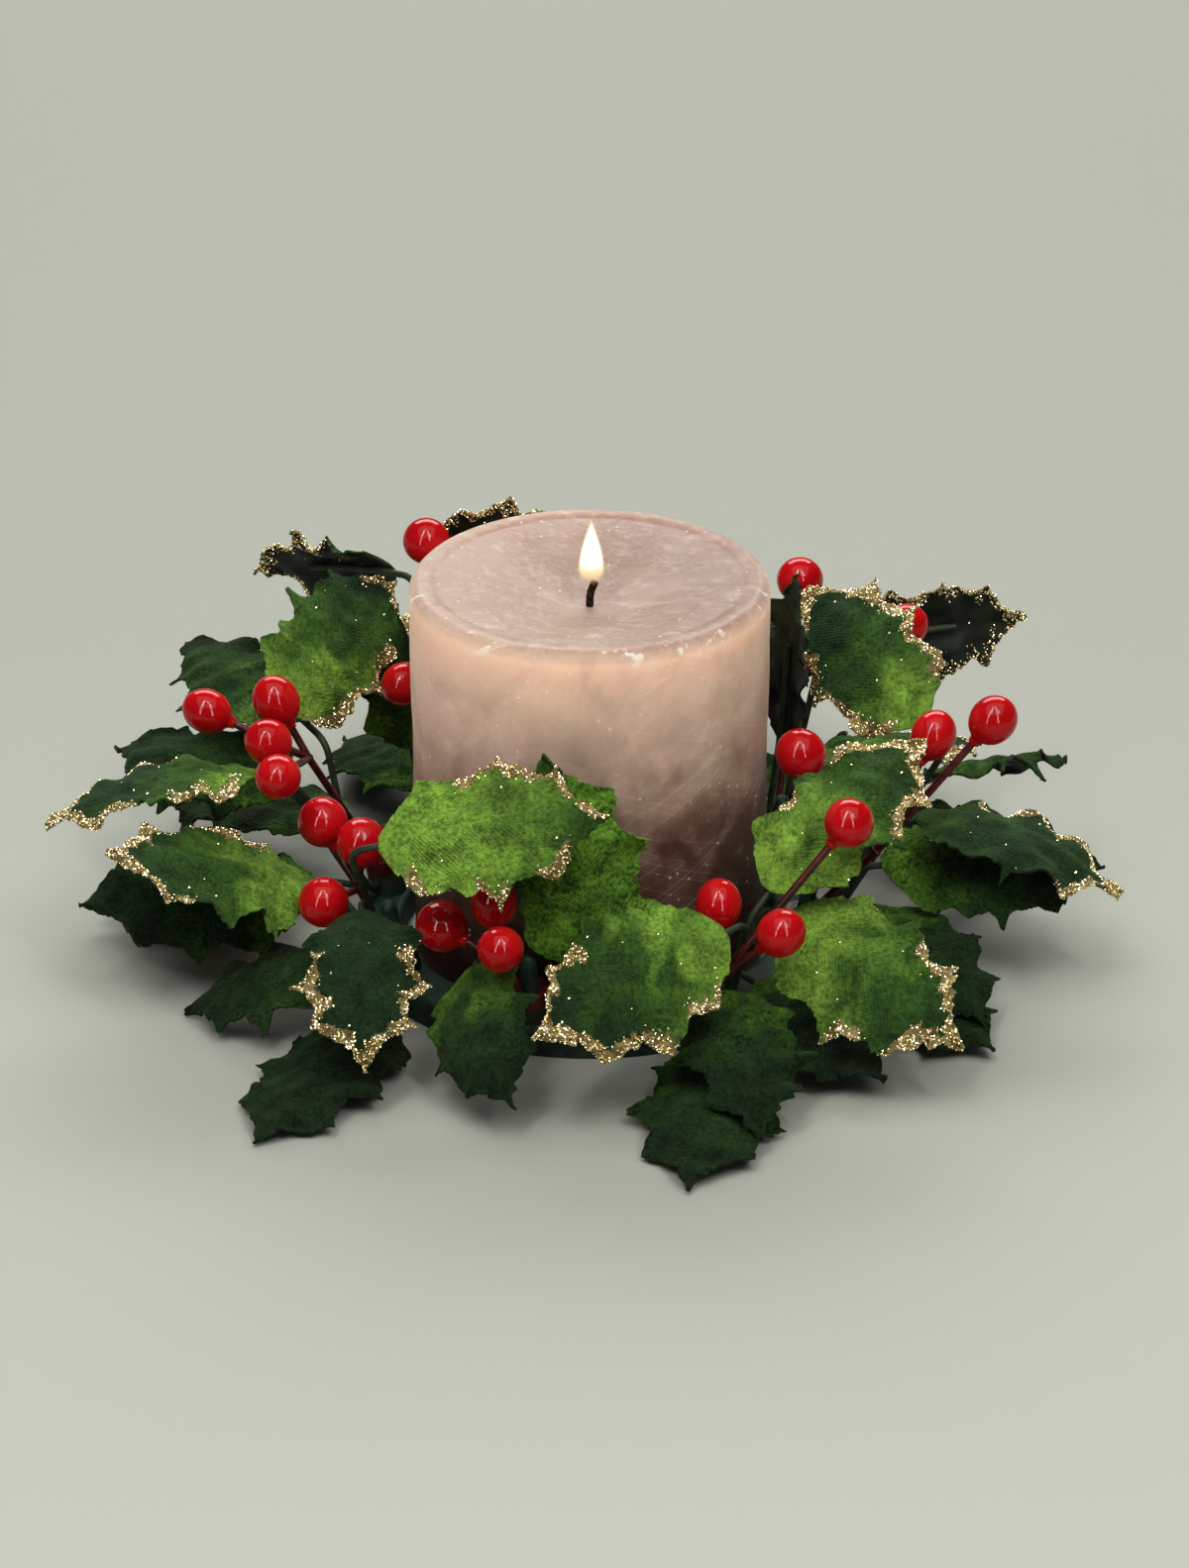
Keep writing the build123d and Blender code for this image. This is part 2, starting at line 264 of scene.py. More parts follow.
def arc_height(x, start, end, bulge):
    """How high the arc from start to end lies at x, where its middle bulges off the straight line."""
    start, end = np.array(start), np.array(end)
    run = np.linalg.norm(end - start)
    radius = (run**2 / 4 + bulge**2) / (2 * abs(bulge))
    normal = np.array((start[1] - end[1], end[0] - start[0])) / run
    centre = (start + end) / 2 + normal * (bulge - np.sign(bulge) * radius)
    return centre[1] + np.sign(bulge) * np.sqrt(np.maximum(radius**2 - (x - centre[0]) ** 2, 0))


def edge_heights(x, chord, half, spread):
    """The half width of a leaf at each x: a rounded shoulder, then scallops from spine to spine."""
    corners = [(0, LEAF_FOOT / 2)]
    corners += [(along * chord, across * half * grow) for (along, across), grow in zip(SPINES, spread)]
    corners += [(chord, 0)]
    heights = np.zeros_like(x)
    bulges = [SHOULDER_BULGE] + [-SPINE_DEPTH] * (len(SPINES) - 1) + [-TIP_DEPTH]
    for start, end, bulge in zip(corners, corners[1:], bulges):
        inside = (x >= start[0] - 1e-9) & (x <= end[0] + 1e-9)
        heights[inside] = arc_height(x[inside], start, end, bulge)
    return heights


def waves(rng, x, y, length, count=5):
    """A smooth random surface from -1 to 1 with waves of about the given length."""
    total = np.zeros_like(x)
    for turn, phase, share in rng.uniform(0, 1, (count, 3)):
        step = 2 * pi / (length * (0.7 + 0.6 * share))
        total += np.sin(step * (x * cos(2 * pi * turn) + y * sin(2 * pi * turn)) + 2 * pi * phase)
    return total / count**0.5 / 1.4


def ease(value, low, high):
    share = np.clip((value - low) / (high - low), 0, 1)
    return share * share * (3 - 2 * share)


def edge_distance(x, y, outline):
    """How far each point lies inside a closed outline."""
    nearest = np.full(len(x), np.inf)
    for start, end in zip(outline, np.roll(outline, -1, axis=0)):
        run = end - start
        share = ((x - start[0]) * run[0] + (y - start[1]) * run[1]) / max(run @ run, 1e-18)
        share = np.clip(share, 0, 1)
        nearest = np.minimum(nearest, np.hypot(x - start[0] - share * run[0], y - start[1] - share * run[1]))
    return nearest


def cut_leaf(node, seed):
    """A cloth leaf where its CAD solid lies, with ruffled edges and curled spines."""
    rng = np.random.default_rng(seed)
    foot, along, across, up, chord, half, bend, below = measure_leaf(node)
    bpy.ops.mesh.primitive_grid_add(x_subdivisions=STEPS_ALONG, y_subdivisions=STEPS_ACROSS, size=1)
    leaf = bpy.context.object
    leaf.name = leaf.data.name = "leaf_" + node.replace("_leaf", "")
    grid = np.empty(len(leaf.data.vertices) * 3)
    leaf.data.vertices.foreach_get("co", grid)
    share, side = grid.reshape(-1, 3)[:, 0] + 0.5, 2 * grid.reshape(-1, 3)[:, 1]
    left_spread, right_spread = rng.uniform(*SPINE_SPREAD, (2, len(SPINES)))
    x = share * chord
    left, right = edge_heights(x, chord, half, left_spread), edge_heights(x, chord, half, right_spread)
    y = side * np.where(side > 0, left, right)
    ragged = TEETH * (waves(rng, x, 3 * y, FINE_TOOTH, 7) + waves(rng, x, 3 * y, COARSE_TOOTH))
    ragged = ragged + rng.normal(0, FRAY, len(x))
    y += side**3 * ragged * ease(share, 0.02, 0.12) * (1 - ease(share, 0.92, 0.98))
    stations = np.linspace(0, chord, STEPS_ALONG + 1)
    outline = np.concatenate([
        np.stack([stations, edge_heights(stations, chord, half, left_spread)], 1),
        np.stack([stations, -edge_heights(stations, chord, half, right_spread)], 1)[::-1],
    ])
    inside = edge_distance(x, y, outline)
    fold = np.sqrt(y**2 + CREASE**2) - CREASE
    rise = below + np.sqrt(np.maximum((bend - fold * np.tan(LEAF_FOLD)) ** 2 - (x - chord / 2) ** 2, 0))
    rise += CRUMPLE_HEIGHT * waves(rng, x, y, CRUMPLE_LENGTH) * ease(np.abs(y), 0, 0.006)
    rise += CREPE_HEIGHT * waves(rng, x, y, CREPE_LENGTH, 8) * ease(share, 0.02, 0.15)
    for sign in (1, -1):
        rim = np.clip(sign * side, 0, 1) ** 3 * ease(share, 0, 0.2)
        turns, phase, height = rng.uniform(RUFFLE_LEAST, RUFFLE_MOST)
        rise += rim * height * np.sin(2 * pi * (turns * share + phase))
        for (spine, _), curl in zip(SPINES, rng.uniform(*SPINE_CURL, len(SPINES))):
            rise += curl * np.clip(sign * side, 0, 1) ** 5 * np.exp(-(((share - spine) / CURL_REACH) ** 2))
    rise += rng.uniform(*TIP_CURL) * ease(share, TIP_START, 1.0)
    spots = foot + np.outer(x, along) + np.outer(y, across) + np.outer(rise, up)
    spots[:, 2] = np.maximum(spots[:, 2], FLOOR_ROOM)
    reach = np.hypot(spots[:, 0], spots[:, 1])
    spots[:, :2] *= (np.maximum(reach, CANDLE_ROOM) / reach)[:, None]
    leaf.data.vertices.foreach_set("co", spots.ravel())
    if np.dot(leaf.data.polygons[STEPS_ALONG * STEPS_ACROSS // 2].normal, up) < 0:
        leaf.data.flip_normals()
    area = np.trapz(edge_heights(stations, chord, half, left_spread), stations)
    area += np.trapz(edge_heights(stations, chord, half, right_spread), stations)
    band = gilt_band(rng, share, side, inside, GILDED.get(node[-2:]))
    tone = LEAF_TONES.get(node[-2:], USUAL_TONE) + rng.uniform(-TONE_CHANCE, TONE_CHANCE)
    for name, values in (("tone", np.full(len(x), tone)), ("gilt", band)):
        leaf.data.attributes.new(name, "FLOAT", "POINT").data.foreach_set("value", values)
    return leaf, (2 * half, 2 * bend * np.arcsin(chord / 2 / bend)), area


GLUE_WIDTH = 0.0022
GLUE_WOBBLE = 0.0012
GLUE_LEAST = 0.0006
GLUE_AT_TIP = 0.0024


def gilt_band(rng, share, side, inside, runs):
    """Where glue was brushed for the glitter: uneven runs along the left and right edge, wide at the tip."""
    band, level = np.zeros_like(share), np.zeros_like(share)
    if runs is None:
        runs = [((first, 1.1),) for first in rng.uniform(0.05, 0.4, 2)]
    for sign, edge in zip((1, -1), runs):
        wobble = waves(rng, share, level, 0.16) + 0.7 * waves(rng, share, level, 0.06)
        width = np.maximum(GLUE_WIDTH + GLUE_WOBBLE * wobble, GLUE_LEAST)
        width = width + GLUE_AT_TIP * ease(share, TIP_START, 1.0)
        wet = level
        for first, last in edge:
            wet = np.maximum(wet, ease(share, first, first + 0.06) * (1 - ease(share, last - 0.05, last)))
        band = np.where(side * sign >= 0, wet * (1 - ease(inside, 0.55 * width, 1.1 * width)), band)
    return band


def cloth(name, foot_colour, blade_colour, tip_colour, nap, gilded):
    """Velvety cloth that is dyed from foot to tip, with a rough nap and pressed ribs slanting to the tip."""
    made, tree = new_finish(name)
    place = place_of(tree)
    flat = tree.node("ShaderNodeTexCoord", {}, {}, "UV")
    along = tree.node("ShaderNodeSeparateXYZ", {}, {"Vector": flat}, "X")
    across = tree.node("ShaderNodeSeparateXYZ", {}, {"Vector": flat}, "Y")
    tone = tree.node("ShaderNodeAttribute", {"attribute_name": "tone"}, {}, "Fac")
    cloud = blotches(tree, place, size=0.011, detail=4, distortion=0.8)
    patch = blotches(tree, place, size=0.0032, detail=5)
    fuzz = blotches(tree, place, size=0.0008, detail=4)
    slant = along - tree.math("ABSOLUTE", across - 0.5) * 0.5 + (patch - 0.5) * 0.02
    ribs = tree.math("SINE", slant * (2 * pi * RIBS))
    threads = tree.math("SINE", (across + (fuzz - 0.5) * 0.01) * (2 * pi * RIBS * 0.8))
    dye = along + (cloud - 0.5) * 1.3 + (patch - 0.5) * 0.25 + tone
    stops = ((0.0, foot_colour), (0.40, blade_colour), (0.85, tip_colour))
    colour = tree.node("ShaderNodeValToRGB", {"stops": stops}, {"Fac": dye})
    pressed = ribs * stretch(tree, cloud, 0.4, 0.6, 0.02, 0.14) + threads * 0.05
    pile = stretch(tree, fuzz * 0.55 + patch * 0.45, 0.36, 0.64, 1 - nap, 1 + nap) * (0.97 + pressed)
    colour = tree.node("ShaderNodeVectorMath", {"operation": "SCALE"}, {"Vector": colour, "Scale": pile})
    rough = 0.9 - patch * 0.1
    if gilded:
        glue = tree.node("ShaderNodeAttribute", {"attribute_name": "gilt"}, {}, "Fac")
        crumbs = stretch(tree, glue + (fuzz - 0.5) * 1.2, 0.35, 0.6)
        gold = mix(tree, stretch(tree, patch, 0.35, 0.65), GLUE_DARK, GLUE_LIGHT)
        colour = mix(tree, crumbs, colour, gold)
        rough = rough - crumbs * 0.35
    dress(tree, {
        "Base Color": colour,
        "Roughness": rough,
        "Specular IOR Level": 0.08,
        "Sheen Weight": 0.10,
        "Sheen Roughness": 0.5,
        "Sheen Tint": (0.45, 0.75, 0.25, 1),
        "Normal": bump(tree, fuzz + patch * 0.8 + pressed, depth=0.00045, strength=0.9),
    })
    return made


def underside(name):
    """The stiffened back of the cloth: dark, a little shiny, with the ribs pressed through."""
    made, tree = new_finish(name)
    place = place_of(tree)
    flat = tree.node("ShaderNodeTexCoord", {}, {}, "UV")
    ribs = tree.node(
        "ShaderNodeTexWave", {"bands_direction": "X"},
        {"Vector": flat, "Scale": 15.0, "Distortion": 2.0, "Detail": 2.0, "Detail Scale": 2.0})
    patch = blotches(tree, place, size=0.004, detail=4)
    dress(tree, {
        "Base Color": mix(tree, stretch(tree, patch, 0.35, 0.7), BACK_DARK, BACK_LIGHT),
        "Roughness": 0.45 + patch * 0.3,
        "Specular IOR Level": 0.2,
        "Normal": bump(tree, ribs * 0.12 + patch, depth=0.00025, strength=0.7),
    })
    return made


PLAIN_FOOT = (0.100, 0.225, 0.018)
PLAIN_BLADE = (0.014, 0.042, 0.006)
PLAIN_TIP = (0.006, 0.017, 0.005)
GILT_FOOT = (0.185, 0.340, 0.038)
GILT_BLADE = (0.036, 0.092, 0.011)
GILT_TIP = (0.009, 0.028, 0.008)
GLUE_DARK = (0.11, 0.075, 0.02)
GLUE_LIGHT = (0.36, 0.27, 0.11)
BACK_DARK = (0.0065, 0.0085, 0.005)
BACK_LIGHT = (0.016, 0.026, 0.011)
PLAIN_NAP = 0.75
GILT_NAP = 0.55
# How far each leaf's dye is shifted from lime towards deep green. Each tone is matched to how bright that leaf
# looks, so it is partly dye and partly painted light and shade: d2 is painted lighter in the shade it lies in
# under c6
LEAF_TONES = {
    "a1": 0.5, "a2": 0.6, "b1": -0.02, "b2": -0.05, "b4": 0.1,
    "c1": -0.05, "c3": 0.2, "c4": 0.85, "c5": 0.7, "c6": -0.35, "d1": 0.12, "d2": -0.75,
    "e1": 0.03, "e2": 0.15, "e4": -0.2, "e5": 0.2, "e6": -0.08,
    "f1": 0.12, "f2": 0.45, "f4": -0.05, "g1": 0.6, "g2": 0.4,
}
# Where the front leaves were brushed with glue: runs along the left edge and the right edge, from foot to tip
GILDED = {
    "b1": (((0.82, 1.1),), ((0.05, 0.75), (0.85, 1.1))),
    "b4": (((0.10, 0.45), (0.55, 1.1)), ((0.35, 1.1),)),
    "c1": (((0.62, 1.1),), ((0.15, 0.55), (0.60, 1.1))),
    "c4": (((0.25, 1.1),), ((0.30, 1.1),)),
    "c6": (((0.30, 1.1),), ((0.08, 0.28), (0.40, 0.58), (0.66, 0.85))),
    "e1": (((0.12, 0.38), (0.45, 1.1)), ((0.58, 1.1),)),
    "e4": (((0.55, 1.1),), ((0.48, 0.66), (0.74, 1.1))),
    "e6": (((0.30, 0.45), (0.60, 1.1)), ((0.50, 1.1),)),
    "f1": (((0.05, 1.1),), ((0.10, 1.1),)),
    "f2": (((0.20, 1.1),), ((0.70, 1.1),)),
}
leaf_finishes = {
    "plain": cloth("plain_cloth", PLAIN_FOOT, PLAIN_BLADE, PLAIN_TIP, PLAIN_NAP, False),
    "gilt": cloth("gilt_cloth", GILT_FOOT, GILT_BLADE, GILT_TIP, GILT_NAP, True),
}
leaf_back = underside("cloth_back")
leaf_nodes = sorted(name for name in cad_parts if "_leaf_" in name)
gilt_leaves = []
for seed, node in enumerate(leaf_nodes):
    finish = node.split("_")[0]
    leaf, flat, area = cut_leaf(node, seed)
    leaf.data.materials.append(leaf_finishes[finish])
    leaf.data.materials.append(leaf_back)
    bpy.ops.object.mode_set(mode="EDIT")
    bpy.ops.mesh.select_all(action="SELECT")
    bpy.ops.mesh.remove_doubles(threshold=0.00001)
    bpy.ops.object.mode_set(mode="OBJECT")
    solidify = leaf.modifiers.new("cloth", "SOLIDIFY")
    solidify.thickness = CLOTH
    solidify.offset = -1
    solidify.material_offset = 1
    bpy.ops.object.modifier_apply(modifier=solidify.name)
    bpy.ops.object.shade_smooth_by_angle(angle=radians(50))
    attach(leaf, "ring")
    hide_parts(node)
    leaf.select_set(False)
    if finish == "gilt":
        gilt_leaves.append(leaf)

# The glitter
# Coarse gold glitter is shaken on the wet glue along the edges of the gilt leaves. It stands up as a crust of
# small bright grains, with single grains stuck here and there on the blades.

GRAIN_RADIUS = 0.00028
GRAIN_SIZES = (0.45, 1.25)
GRAINS_PER_METRE = 1400.0
GRAINS_PER_AREA = 3.2e6
STRAYS_PER_AREA = 1.6e4
GOLD_DARK = (0.250, 0.145, 0.035)
GOLD_MID = (0.830, 0.670, 0.310)
GOLD_PALE = (1.000, 0.940, 0.680)


def gold_grains(name):
    made, tree = new_finish(name)
    place = place_of(tree)
    cell = tree.node("ShaderNodeTexVoronoi", {}, {"Vector": place, "Scale": GRAINS_PER_METRE}, "Color")
    pick = tree.node("ShaderNodeSeparateXYZ", {}, {"Vector": cell}, "X")
    stops = ((0.05, GOLD_DARK), (0.4, GOLD_MID), (0.85, GOLD_PALE))
    dress(tree, {
        "Base Color": tree.node("ShaderNodeValToRGB", {"stops": stops}, {"Fac": pick}),
        "Metallic": 1.0,
        "Roughness": 0.08 + pick * 0.18,
    })
    return made


def grain_scatter(name, material):
    """Geometry nodes that scatter grains on a leaf by its gilt attribute."""
    group = bpy.data.node_groups.new(name, "GeometryNodeTree")
    group.interface.new_socket("Geometry", in_out="INPUT", socket_type="NodeSocketGeometry")
    group.interface.new_socket("Geometry", in_out="OUTPUT", socket_type="NodeSocketGeometry")
    tree = Paint(group)
    surface = tree.node("NodeGroupInput", {}, {})
    glue = tree.node("GeometryNodeInputNamedAttribute", {"data_type": "FLOAT"}, {"Name": "gilt"})
    points = tree.node(
        "GeometryNodeDistributePointsOnFaces", {},
        {"Mesh": surface, "Density": glue * GRAINS_PER_AREA + STRAYS_PER_AREA, "Seed": 7})
    grain = tree.node("GeometryNodeMeshIcoSphere", {}, {"Radius": GRAIN_RADIUS, "Subdivisions": 1})
    by_chance = {"data_type": "FLOAT_VECTOR"}
    turn = tree.node("FunctionNodeRandomValue", by_chance, {"Max": (2 * pi,) * 3})
    smallest, largest = ((size,) * 3 for size in GRAIN_SIZES)
    size = tree.node("FunctionNodeRandomValue", by_chance, {0: smallest, 1: largest})
    grains = tree.node(
        "GeometryNodeInstanceOnPoints", {},
        {"Points": points, "Instance": grain, "Rotation": turn, "Scale": size})
    crust = tree.node("GeometryNodeRealizeInstances", {}, {"Geometry": grains})
    crust = tree.node("GeometryNodeSetMaterial", {}, {"Geometry": crust, "Material": material})
    tree.node("NodeGroupOutput", {}, {"Geometry": crust})
    return group


gold = gold_grains("gold_glitter")
scatter = grain_scatter("grain_scatter", gold)
for leaf in gilt_leaves:
    bpy.ops.object.select_all(action="DESELECT")
    leaf.select_set(True)
    bpy.context.view_layer.objects.active = leaf
    bpy.ops.object.duplicate()
    crust = bpy.context.object
    crust.name = crust.data.name = leaf.name.replace("leaf_gilt", "glitter")
    for key in list(crust.keys()):
        if key.startswith("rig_"):
            del crust[key]
    modifier = crust.modifiers.new("grains", "NODES")
    modifier.node_group = scatter
    bpy.ops.object.modifier_apply(modifier=modifier.name)
    crust.data.materials.clear()
    crust.data.materials.append(gold)
    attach(crust, "ring")

# The berry stems
# Each pick of berries has an eyelet over the leaf stem's, and a stalk that forks. They are wire, dipped in
# glossy red-brown lacquer that has run a little darker at the joints.

BARK_DARK = (0.028, 0.004, 0.004)
BARK_LIGHT = (0.105, 0.010, 0.009)


def lacquered_wire(name):
    made, tree = new_finish(name)
    place = place_of(tree)
    runs = blotches(tree, place, size=0.003, detail=4)
    nibs = blotches(tree, place, size=0.0007, detail=3)
    dress(tree, {
        "Base Color": mix(tree, stretch(tree, runs, 0.35, 0.65), BARK_DARK, BARK_LIGHT),
        "Roughness": 0.20 + nibs * 0.2,
        "Specular IOR Level": 0.2,
        "Coat Weight": 0.1,
        "Normal": bump(tree, runs + nibs * 0.5, depth=0.00025, strength=0.7),
    })
    return made


pick_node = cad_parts["berry_stems"]
pick_node.data.materials.clear()
pick_node.data.materials.append(lacquered_wire("red_brown_lacquer"))

# The berries
# Turned foam beads, dipped in thick red lacquer, are pushed with glue over the ends of the picks' wires. The
# lacquer is glossy, with a small neck where it ran down to the wire.

NECK_REACH = 0.0011
NECK_RADIUS = 0.0011
NECK_START = 0.93
SOCKET_SHARE = 0.7
BEAD_LENGTHS = (0.88, 1.0)
BEAD_GIRTHS = (0.84, 0.99)
LACQUER_DEEP = (0.45, 0.003, 0.005)
LACQUER_BRIGHT = (0.62, 0.006, 0.009)


def berry_lacquer(name):
    made, tree = new_finish(name)
    place = place_of(tree)
    depth = blotches(tree, place, size=0.006, detail=3)
    dimples = blotches(tree, place, size=0.0022, detail=2)
    scuffs = stretch(tree, blotches(tree, place, size=0.0009, detail=4), 0.6, 0.75)
    dress(tree, {
        "Base Color": mix(tree, stretch(tree, depth, 0.3, 0.7), LACQUER_DEEP, LACQUER_BRIGHT),
        "Roughness": 0.03 + scuffs * 0.08 + depth * 0.03,
        "Specular IOR Level": 0.15,
        "Coat Weight": 0.1,
        "Coat Roughness": 0.01,
        "Normal": bump(tree, dimples, depth=0.00012, strength=0.5),
    })
    return made


def loose_solids(node):
    """The points of each separate solid in a CAD node."""
    bpy.ops.object.select_all(action="DESELECT")
    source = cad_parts[node]
    copy = source.copy()
    copy.data = source.data.copy()
    copy.parent = None
    scene.collection.objects.link(copy)
    copy.select_set(True)
    bpy.context.view_layer.objects.active = copy
    bpy.ops.object.mode_set(mode="EDIT")
    bpy.ops.mesh.select_all(action="SELECT")
    bpy.ops.mesh.remove_doubles(threshold=0.000002)
    bpy.ops.mesh.separate(type="LOOSE")
    bpy.ops.object.mode_set(mode="OBJECT")
    pieces = list(bpy.context.selected_objects)
    clouds = [np.array([v.co for v in piece.data.vertices]) for piece in pieces]
    for piece in pieces:
        bpy.data.objects.remove(piece)
    return sorted(clouds, key=lambda cloud: tuple(np.round(cloud.mean(0), 5)))


def berry(cloud, rng):
    """A dipped berry where a CAD bead lies, a little smaller by chance, with its neck at the wire."""
    middle = (cloud.min(0) + cloud.max(0)) / 2
    distance = np.linalg.norm(cloud - middle, axis=1)
    wire = (cloud[distance < SOCKET_SHARE * distance.max()] - middle).mean(0)
    wire /= np.linalg.norm(wire)
    half_length = distance.max() * rng.uniform(*BEAD_LENGTHS)
    bpy.ops.mesh.primitive_uv_sphere_add(segments=40, ring_count=28, radius=1)
    bead = bpy.context.object
    ball = np.empty(len(bead.data.vertices) * 3)
    bead.data.vertices.foreach_get("co", ball)
    ball = ball.reshape(-1, 3)
    height = ball[:, 2]
    radius = 0.5 * np.ptp(cloud, axis=0).min() * rng.uniform(*BEAD_GIRTHS)
    neck = ease(-height, NECK_START, 1.0)
    girth = np.hypot(ball[:, 0], ball[:, 1])
    wide = girth * radius * (1 - neck) + neck * NECK_RADIUS * (girth > 1e-6)
    drop = height * half_length - neck * NECK_REACH
    turn = Vector((0, 0, -1)).rotation_difference(Vector(wire)).to_matrix()
    round_it = ball[:, :2] / np.maximum(girth, 1e-9)[:, None] * wide[:, None]
    spots = np.column_stack([round_it, drop])
    spots = spots @ np.array(turn).T + middle
    bead.data.vertices.foreach_set("co", spots.ravel())
    bpy.ops.object.shade_smooth()
    return bead


lacquer = berry_lacquer("red_lacquer")
bead_sizes = np.random.default_rng(26)
for letter in SPRAYS:
    beads = [berry(cloud, bead_sizes) for cloud in loose_solids(f"berries_{letter}")]
    bpy.ops.object.select_all(action="DESELECT")
    for bead in beads:
        bead.select_set(True)
    bpy.context.view_layer.objects.active = beads[0]
    bpy.ops.object.join()
    bunch = bpy.context.object
    bunch.name = bunch.data.name = f"berry_bunch_{letter}"
    bunch.data.materials.append(lacquer)
    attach(bunch, "ring")
    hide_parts(f"berries_{letter}")

# The candle
# A cast pillar of mottled old-rose wax stands on the table inside the ring. Its side is frosted and
# scratched, its shoulder is rounded, and the first burn has melted a shallow hollow round the wick.

SHOULDER = 0.0025
RIM = 0.0040
MELT_DEPTH = 0.0060
WICK_HOLE = 0.0010
FOOT_BEVEL = 0.0010
LIP_WIDTH = 0.0006
LIP_DEPTH = 0.0005
HOLLOW_STEPS = 26
SIDE_STEPS = 56
SIDES = 160

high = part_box("candle_wax")[1]
candle_radius, candle_height = high.x, high.z
bpy.ops.object.select_all(action="DESELECT")
bpy.ops.mesh.primitive_cylinder_add(
    vertices=SIDES, radius=candle_radius, depth=candle_height, location=(0, 0, candle_height / 2))
bpy.ops.object.transform_apply(location=True)
wax = bpy.context.object
wax.name = wax.data.name = "candle"


def select_where(piece, kind, test):
    """In edit mode, selects just the edges or faces that pass the test."""
    bpy.ops.object.mode_set(mode="EDIT")
    bpy.ops.mesh.select_mode(type={"edges": "EDGE", "polygons": "FACE"}[kind])
    bpy.ops.mesh.select_all(action="DESELECT")
    bpy.ops.object.mode_set(mode="OBJECT")
    for element in getattr(piece.data, kind):
        element.select = test(element)
    bpy.ops.object.mode_set(mode="EDIT")


def edge_heights_of(piece, edge):
    return [piece.data.vertices[index].co.z for index in edge.vertices]


select_where(wax, "edges", lambda edge: min(edge_heights_of(wax, edge)) > candle_height - 1e-6)
bpy.ops.mesh.bevel(offset=SHOULDER, segments=7, profile=0.5)
select_where(wax, "edges", lambda edge: max(edge_heights_of(wax, edge)) < 1e-6)
bpy.ops.mesh.bevel(offset=FOOT_BEVEL, segments=3, profile=0.5)
select_where(wax, "edges", lambda edge: np.ptp(edge_heights_of(wax, edge)) > candle_height / 2)
bpy.ops.mesh.subdivide(number_cuts=SIDE_STEPS)
select_where(wax, "polygons", lambda face: face.normal.z > 0.99 and len(face.vertices) > 8)
bpy.ops.mesh.inset(thickness=RIM - SHOULDER)
bpy.ops.mesh.inset(thickness=LIP_WIDTH, depth=-LIP_DEPTH)
radius = candle_radius - RIM - LIP_WIDTH
dish = (radius - WICK_HOLE) / HOLLOW_STEPS
for step in range(HOLLOW_STEPS):
    before, after = ease(np.array((step, step + 1)) / HOLLOW_STEPS, 0, 1)
    bpy.ops.mesh.inset(thickness=dish, depth=-(MELT_DEPTH - LIP_DEPTH) * (after - before))
bpy.ops.object.mode_set(mode="OBJECT")

DENT_SIZE = 0.018
DENT_DEPTH = 0.00035
NICK_SIZE = 0.005
NICK_DEPTH = 0.00010
SLUMP_SIZE = 0.014
SLUMP_DEPTH = 0.0005
WORN = 0.0001
TOP_FADE = 0.004
FOOT_FADE = 0.003
for vertex in wax.data.vertices:
    spot = vertex.co
    outward = Vector((spot.x, spot.y, 0)).normalized()
    side_share = min(max((candle_height - spot.z) / TOP_FADE, 0), 1) * min(spot.z / FOOT_FADE, 1)
    dents = noise.noise(spot / DENT_SIZE) * DENT_DEPTH + noise.noise(spot / NICK_SIZE) * NICK_DEPTH
    spot -= outward * max(dents + WORN, 0) * side_share
    top_share = min(max((spot.z - candle_height + SHOULDER) / SHOULDER, 0), 1)
    spot.z -= max(noise.noise(spot / SLUMP_SIZE) * SLUMP_DEPTH + WORN, 0) * top_share
bpy.ops.object.shade_smooth()


# From where to where, in metres from the axis or from the table, each look of the wax sets in
MELT_RADII = (0.0325, 0.0345)
# The shoulder band painted darker, as painted shade where the overhead light falls
SHOULDER_SHADE_HEIGHTS = (0.0772, 0.0796)
# Where the painted highlights lie round the shoulder
EDGE_RADII = (0.0325, 0.0340)
EDGE_HEIGHTS = (0.0755, 0.0785)
# Where the lower wax turns brown and dark, partly its own colour and partly painted shade
BROWN_AND_SHADE_LEVELS = (0.033, 0.079)
# Where the foot is painted near black, as painted shade
FOOT_SHADE_LEVELS = (0.013, 0.049)
FROST_LEVELS = (0.025, 0.070)
# Where the painted glow sets in
PAINTED_GLOW_LEVELS = (0.038, 0.076)
SCRATCH_LEVELS = (0.010, 0.055)
# Each lay of scratches: how it is turned on the unrolled side, and how long its scratches are drawn out
SCRATCH_LAYS = ((0.5, 26), (-0.4, 34))
GLINTS_PER_METRE = 520.0


